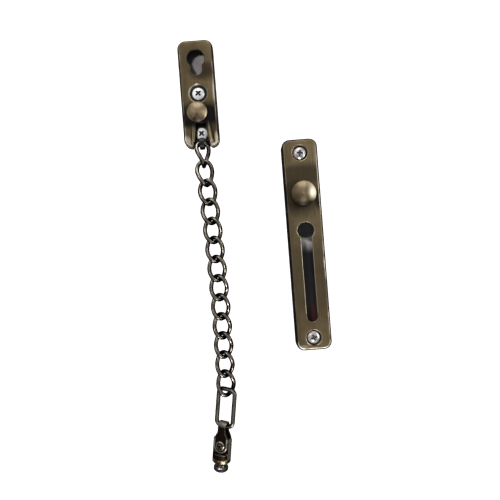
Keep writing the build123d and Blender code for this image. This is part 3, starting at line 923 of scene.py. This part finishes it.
def editPiece(piece):
    activate(piece)
    bpy.ops.object.mode_set(mode="EDIT")
    bpy.ops.mesh.select_mode(type="FACE")
    bpy.ops.mesh.select_all(action="DESELECT")


def selectFaces(piece, test):
    bpy.ops.mesh.select_all(action="DESELECT")
    shape = bmesh.from_edit_mesh(piece.data)
    for face in shape.faces:
        face.select = test(face)
    shape.select_flush_mode()
    bmesh.update_edit_mesh(piece.data)


def pushOut(rise, scale=1.0):
    bpy.ops.mesh.extrude_region_move(TRANSFORM_OT_translate={"value": (0, 0, rise)})
    if scale != 1.0:
        bpy.ops.transform.resize(value=(scale, scale, 1), center_override=(0, 0, 0))


def applyModifier(piece, modifier):
    activate(piece)
    bpy.ops.object.modifier_apply(modifier=modifier.name)


def wind(piece, pitch, turns, steps, sides):
    winding = piece.modifiers.new("winding", "SCREW")
    winding.axis = "Z"
    winding.screw_offset = pitch
    winding.iterations = turns
    winding.steps = winding.render_steps = steps
    applyModifier(piece, winding)
    bpy.ops.object.mode_set(mode="EDIT")
    bpy.ops.mesh.select_all(action="SELECT")
    bpy.ops.mesh.fill_holes(sides=sides)
    bpy.ops.mesh.normals_make_consistent(inside=False)
    bpy.ops.object.mode_set(mode="OBJECT")


def modelHead():
    rim, crown = screwLook["rimHeight"], screwLook["crownHeight"]
    radius, sides = screwLook["headRadius"], screwLook["headSides"]
    bpy.ops.object.select_all(action="DESELECT")
    bpy.ops.mesh.primitive_cylinder_add(
        vertices=sides, radius=radius, depth=rim, location=(0, 0, rim / 2)
    )
    settle()
    head = startPiece("screwHead")
    editPiece(head)
    selectFaces(head, lambda face: face.normal.z > 0.9)
    ball = (radius ** 2 + crown ** 2) / (2 * crown)
    width, level = radius, 0.0
    for share in screwLook["crownSteps"]:
        nextWidth = share * radius
        nextLevel = math.sqrt(ball ** 2 - nextWidth ** 2) - (ball - crown)
        pushOut(nextLevel - level, nextWidth / width)
        width, level = nextWidth, nextLevel
    bpy.ops.object.mode_set(mode="OBJECT")
    return head


def modelRecess():
    half = screwLook["armWidth"] / 2
    arm = screwLook["armLength"] / 2 - half
    top = screwLook["rimHeight"] + screwLook["crownHeight"]
    floor = top - screwLook["recessDepth"]
    bpy.ops.object.select_all(action="DESELECT")
    bpy.ops.mesh.primitive_cube_add(size=2 * half, location=(0, 0, floor + half))
    settle()
    recess = startPiece("screwRecess")
    editPiece(recess)
    selectFaces(recess, lambda face: face.normal.z > 0.9)
    bpy.ops.transform.translate(value=(0, 0, screwLook["cutterRise"]))
    for x, y in ((1, 0), (0, 1), (-1, 0), (0, -1)):
        direction = Vector((x, y, 0))
        across = Vector((direction.y, direction.x, 0))  # an arm's own flanks stay where they are
        selectFaces(
            recess,
            lambda face: face.normal.dot(direction) > 0.9
            and abs(face.calc_center_median().dot(across)) < half / 2,
        )
        bpy.ops.mesh.extrude_region_move(TRANSFORM_OT_translate={"value": direction * arm})
    selectFaces(recess, lambda face: face.normal.z < -0.9)
    taper = screwLook["recessTaper"]
    bpy.ops.transform.resize(value=(taper, taper, 1), center_override=(0, 0, 0))
    bpy.ops.object.mode_set(mode="OBJECT")
    return recess


def modelShank():
    root, neck = screwLook["rootRadius"], screwLook["neckRadius"]
    length, sides = screwLook["threadLength"], screwLook["coreSides"]
    bpy.ops.object.select_all(action="DESELECT")
    bpy.ops.mesh.primitive_cylinder_add(
        vertices=sides, radius=root, depth=length, location=(0, 0, -length / 2)
    )
    settle()
    shank = startPiece("screwShank")
    editPiece(shank)
    selectFaces(shank, lambda face: face.normal.z < -0.9)
    pushOut(-screwLook["tipLength"], screwLook["tipShare"])
    selectFaces(shank, lambda face: face.normal.z > 0.9)
    pushOut(screwLook["shoulder"], neck / root)
    pushOut(screwLook["shortNeck"] - screwLook["shoulder"])
    bpy.ops.object.mode_set(mode="OBJECT")
    return shank


def modelThread():
    root, crest, pitch = screwLook["rootRadius"], screwLook["crestRadius"], screwLook["pitch"]
    length, tip, gap = screwLook["threadLength"], screwLook["tipLength"], screwLook["threadGap"]
    ridge = (crest - root + screwLook["sunk"]) / 1.5  # a triangle of radius 1 is 1.5 high
    bpy.ops.object.select_all(action="DESELECT")
    bpy.ops.mesh.primitive_circle_add(vertices=3, radius=1.0)
    thread = startPiece("screwThread")
    thread.rotation_euler = (0, 0, math.radians(-90))
    settle()
    thread.rotation_euler = (math.radians(90), 0, 0)
    settle()
    thread.scale = (ridge, 1, screwLook["ridgeShare"] * pitch)
    thread.location = (crest - ridge, 0, -length - tip + gap)
    settle()
    turns = int((length + tip - 2 * gap) / pitch)
    wind(thread, pitch, turns, screwLook["threadSteps"], sides=3)
    for vertex in thread.data.vertices:  # the last turns close in on the point
        beyond = -length - vertex.co.z
        if beyond > 0:
            share = max(1 - beyond / tip, screwLook["tipShare"])
            vertex.co.x *= share
            vertex.co.y *= share
    return thread


def modelScrew():
    head, recess = modelHead(), modelRecess()
    head.data.materials.append(screwMetals["nickel"])
    recess.data.materials.append(screwMetals["recess"])
    cut = head.modifiers.new("cut", "BOOLEAN")
    cut.operation = "DIFFERENCE"
    cut.solver = "EXACT"
    cut.material_mode = "TRANSFER"  # the cut faces keep the recess's dark colour
    cut.object = recess
    applyModifier(head, cut)
    bpy.data.objects.remove(recess)
    edge = head.modifiers.new("edge", "BEVEL")
    edge.width = screwLook["edge"]
    edge.segments = 2
    edge.limit_method = "ANGLE"
    edge.angle_limit = math.radians(screwLook["edgeAngle"])
    applyModifier(head, edge)
    shank, thread = modelShank(), modelThread()
    head.location = (0, 0, screwLook["shortNeck"])
    bpy.ops.object.select_all(action="DESELECT")
    for piece in (shank, thread, head):
        piece.select_set(True)
    bpy.context.view_layer.objects.active = head
    settle()
    bpy.ops.object.join()
    bpy.ops.object.shade_smooth_by_angle(angle=math.radians(screwLook["smoothAngle"]))
    return head


screwFinish = {
    "grime": (0.06, 0.055, 0.052, 1),
    "grain": (1300.0, 1300.0, 1300.0),
    "rubWidth": 0.3 * mm,
    "rubShare": 0.4,
    "speckStart": 0.35,
}
steels = {
    "nickel": {
        "colour": (0.80, 0.80, 0.79, 1), "dirt": 0.08, "roughness": (0.30, 0.42), "metallic": 0.25,
    },
    "zinc": {
        "colour": (0.58, 0.55, 0.555, 1), "dirt": 0.62, "roughness": (0.26, 0.42), "metallic": 0.6,
    },
    "spring": {
        "colour": (0.30, 0.29, 0.30, 1), "dirt": 0.35, "roughness": (0.25, 0.40), "metallic": 1.0,
    },
    # painted shade: the nickel heads' recess is near-black
    "recess": {
        "colour": (0.010, 0.009, 0.009, 1), "dirt": 0.5, "roughness": (0.5, 0.7), "metallic": 0.0,
    },
    # the zinc heads' recess is dark grey
    "dimRecess": {
        "colour": (0.10, 0.09, 0.09, 1), "dirt": 0.5, "roughness": (0.5, 0.7), "metallic": 0.2,
    },
}


def screwMetal(name, look):
    material, tree, shader = startMaterial(name)
    grain = useGroup(tree, brushedGrain, {"Stretch": screwFinish["grain"]})
    rub = useGroup(tree, edgeRub, {"Width": screwFinish["rubWidth"]})["Rub"]
    speck = remap(tree, grain["Streaks"], screwFinish["speckStart"], 1.0, 0.0, look["dirt"])
    dull = mixColour(tree, speck, look["colour"], screwFinish["grime"])
    rubbed = times(tree, rub, screwFinish["rubShare"])
    worn = mixColour(tree, rubbed, dull, look["colour"])
    paint(tree, shader, worn)
    roughen(tree, shader, grain["Blotches"], look["roughness"])
    shader.inputs["Metallic"].default_value = look["metallic"]
    return material


screwMetals = {kind: screwMetal(kind + "Steel", look) for kind, look in steels.items()}
screwPattern = modelScrew()
for nodeName, place in screwPlaces.items():
    screw = screwPattern.copy()
    screw.data = screwPattern.data.copy()
    screw.name = nodeName.replace("_screw", "") + "_threaded"
    bpy.context.scene.collection.objects.link(screw)
    for vertex in screw.data.vertices:  # the neck is as long as this plate needs
        if vertex.co.z > screwLook["shortNeck"] - 0.1 * mm:
            vertex.co.z += place["neck"] - screwLook["shortNeck"]
    low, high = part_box(nodeName)
    turn = Matrix.Rotation(math.radians(place["turn"]), 4, "Z")
    upright = Matrix.Rotation(math.radians(90), 4, "X")
    seat = Matrix.Translation(((low.x + high.x) / 2, 0, (low.z + high.z) / 2))
    screw.data.transform(seat @ upright @ turn)
    screw.data.materials[0] = screwMetals[place["finish"]]
    screw.data.materials[1] = screwMetals[place["recess"]]
    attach(screw, "plates")
    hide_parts(nodeName)
bpy.data.objects.remove(screwPattern)
print("screws modelled")


# coil spring under the button, modelled at its rest length; the real one flattens as the button goes
# in

springLook = {
    "wireRadius": 0.35 * mm,
    "coilRadius": 4.1 * mm,
    "start": -7.75 * mm,
    "height": 4.5 * mm,
    "turns": 3,
    "seat": -7.2 * mm,
    "pressedShare": 0.39,
    "wireSides": 12,
    "turnSteps": 48,
    "smoothAngle": 40.0,
}


def modelSpring():
    sides, turns = springLook["wireSides"], springLook["turns"]
    bpy.ops.object.select_all(action="DESELECT")
    bpy.ops.mesh.primitive_circle_add(vertices=sides, radius=springLook["wireRadius"])
    spring = startPiece("button_spring_coil")
    spring.rotation_euler = (math.radians(90), 0, 0)
    spring.location = (springLook["coilRadius"], 0, 0)
    settle()
    wind(spring, springLook["height"] / turns, turns, springLook["turnSteps"], sides)
    spring.rotation_euler = (math.radians(90), 0, 0)
    spring.location = (buttonMiddle.x, springLook["start"], buttonMiddle.z)
    settle()
    bpy.ops.object.shade_smooth_by_angle(angle=math.radians(springLook["smoothAngle"]))
    return spring


buttonSpring = modelSpring()
buttonSpring.data.materials.append(screwMetals["spring"])
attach(buttonSpring, "plates")
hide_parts("button_spring")
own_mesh(buttonSpring)
print("spring modelled")


# studio: white sweep, soft boxes and a dark surround that only the metal sees

studioLook = {
    "floorLevel": -0.60,
    "backLevel": 0.85,
    "halfWidth": 2.2,
    "frontEdge": -1.6,
    "wallTop": 1.6,
    "curve": 0.35,
    "curveSteps": 16,
    "white": (0.95, 0.95, 0.95, 1),
    "roughness": 0.9,
    "glow": 1.05,
}


def selectEdges(piece, test):
    bpy.ops.mesh.select_all(action="DESELECT")
    shape = bmesh.from_edit_mesh(piece.data)
    for edge in shape.edges:
        edge.select = test(edge)
    bmesh.update_edit_mesh(piece.data)


def makeSweep():
    back, floor = studioLook["backLevel"], studioLook["floorLevel"]
    bpy.ops.object.select_all(action="DESELECT")
    bpy.ops.mesh.primitive_plane_add(size=2.0)
    sweep = startPiece("studioSweep")
    depth = (back - studioLook["frontEdge"]) / 2
    sweep.scale = (studioLook["halfWidth"], depth, 1)
    sweep.location = (0, back - depth, floor)
    settle()
    bpy.ops.object.mode_set(mode="EDIT")
    bpy.ops.mesh.select_mode(type="EDGE")
    selectEdges(sweep, lambda edge: all(abs(end.co.y - back) < 1e-4 for end in edge.verts))
    rise = studioLook["wallTop"] - floor
    bpy.ops.mesh.extrude_region_move(TRANSFORM_OT_translate={"value": (0, 0, rise)})
    selectEdges(sweep, lambda edge: len(edge.link_faces) == 2)
    bpy.ops.mesh.bevel(offset=studioLook["curve"], segments=studioLook["curveSteps"])
    bpy.ops.object.mode_set(mode="OBJECT")
    bpy.ops.object.shade_smooth()
    material, _, shader = startMaterial("whiteSweep")
    shader.inputs["Base Color"].default_value = studioLook["white"]
    shader.inputs["Roughness"].default_value = studioLook["roughness"]
    shader.inputs["Emission Color"].default_value = studioLook["white"]
    shader.inputs["Emission Strength"].default_value = studioLook["glow"]
    sweep.data.materials.append(material)
    sweep.visible_glossy = False
    sweep.visible_diffuse = False


objectMiddle = (cadBox[0] + cadBox[1]) / 2
softBoxes = {
    "keyUpperLeft": {"place": (-0.40, -0.72, 0.26), "size": (0.15, 0.15), "power": 9.0, "on": "matt"},
    "keyGlint": {"place": (-0.40, -0.72, 0.26), "size": (0.22, 0.22), "power": 1.15, "on": "metal"},
    "stripRight": {"place": (0.62, -0.34, -0.05), "size": (0.07, 0.60), "power": 2.2, "on": "metal"},
    "boxAbove": {"place": (0.02, -0.30, 0.62), "size": (0.60, 0.25), "power": 3.0, "on": "metal"},
    "boxBelow": {"place": (0.06, -0.34, -0.56), "size": (0.30, 0.08), "power": 1.6, "on": "metal"},
}


def addSoftBox(name, look):
    light = bpy.data.lights.new(name, "AREA")
    light.shape = "RECTANGLE"
    light.size, light.size_y = look["size"]
    light.energy = look["power"]
    lamp = bpy.data.objects.new(name, light)
    lamp.location = look["place"]
    # one lamp shades what is matt, the rest show in the metal
    lamp.visible_glossy = look["on"] == "metal"
    lamp.visible_diffuse = look["on"] == "matt"
    lamp.rotation_euler = (objectMiddle - lamp.location).to_track_quat("-Z", "Y").to_euler()
    bpy.context.scene.collection.objects.link(lamp)


# the room is brighter in front and above, and matt surfaces get little of it
worldLook = {
    "colour": (1, 0.99, 0.975, 1),
    "ahead": (0.58, 0.14),  # in front and behind
    "aheadTurn": (-0.55, 0.2),
    "upward": (0.34, 1.0),  # below and above
    "upwardTurn": (-0.45, 0.45),
    "onMatt": 0.06,
}


def makeWorld():
    world = bpy.data.worlds.new("studio")
    world.use_nodes = True
    bpy.context.scene.world = world
    tree = world.node_tree
    background = tree.nodes["Background"]
    direction = addNode(tree, "ShaderNodeTexCoord").outputs["Generated"]
    axes = axesOf(tree, direction)
    ahead = remap(tree, axes["Y"], *worldLook["aheadTurn"], *worldLook["ahead"], smooth=True)
    upward = remap(tree, axes["Z"], *worldLook["upwardTurn"], *worldLook["upward"], smooth=True)
    rays = addNode(tree, "ShaderNodeLightPath").outputs
    share = remap(tree, rays["Is Diffuse Ray"], 0, 1, 1.0, worldLook["onMatt"])
    lighting = times(tree, times(tree, ahead, upward), share)
    strength = calc(tree, "MAXIMUM", lighting, rays["Is Camera Ray"])
    tree.links.new(strength, background.inputs["Strength"])
    background.inputs["Color"].default_value = worldLook["colour"]


cameraLook = {
    "lens": 31.0,
    "sensor": 36.0,
    "clipStart": 0.01,
    "frameWidth": 307.5 * mm,  # what the square picture spans at the plates
    "aim": Vector((24.4 * mm, -6.0 * mm, -98.6 * mm)),
    "roll": -4.4,  # the plates lean a little to the left in the picture
}


def addCamera():
    lens = bpy.data.cameras.new("camera")
    lens.lens = cameraLook["lens"]
    lens.sensor_width = cameraLook["sensor"]
    lens.clip_start = cameraLook["clipStart"]
    camera = bpy.data.objects.new("camera", lens)
    distance = cameraLook["lens"] / cameraLook["sensor"] * cameraLook["frameWidth"]
    camera.location = cameraLook["aim"] + frontWards * distance
    level = Matrix.Rotation(math.radians(90), 4, "X")
    rolled = level @ Matrix.Rotation(math.radians(cameraLook["roll"]), 4, "Z")
    camera.rotation_euler = rolled.to_euler()
    bpy.context.scene.collection.objects.link(camera)
    bpy.context.scene.camera = camera


makeSweep()
for boxName, boxLook in softBoxes.items():
    addSoftBox(boxName, boxLook)
makeWorld()
addCamera()
bpy.context.scene.view_settings.view_transform = "Standard"
print("studio and camera set")
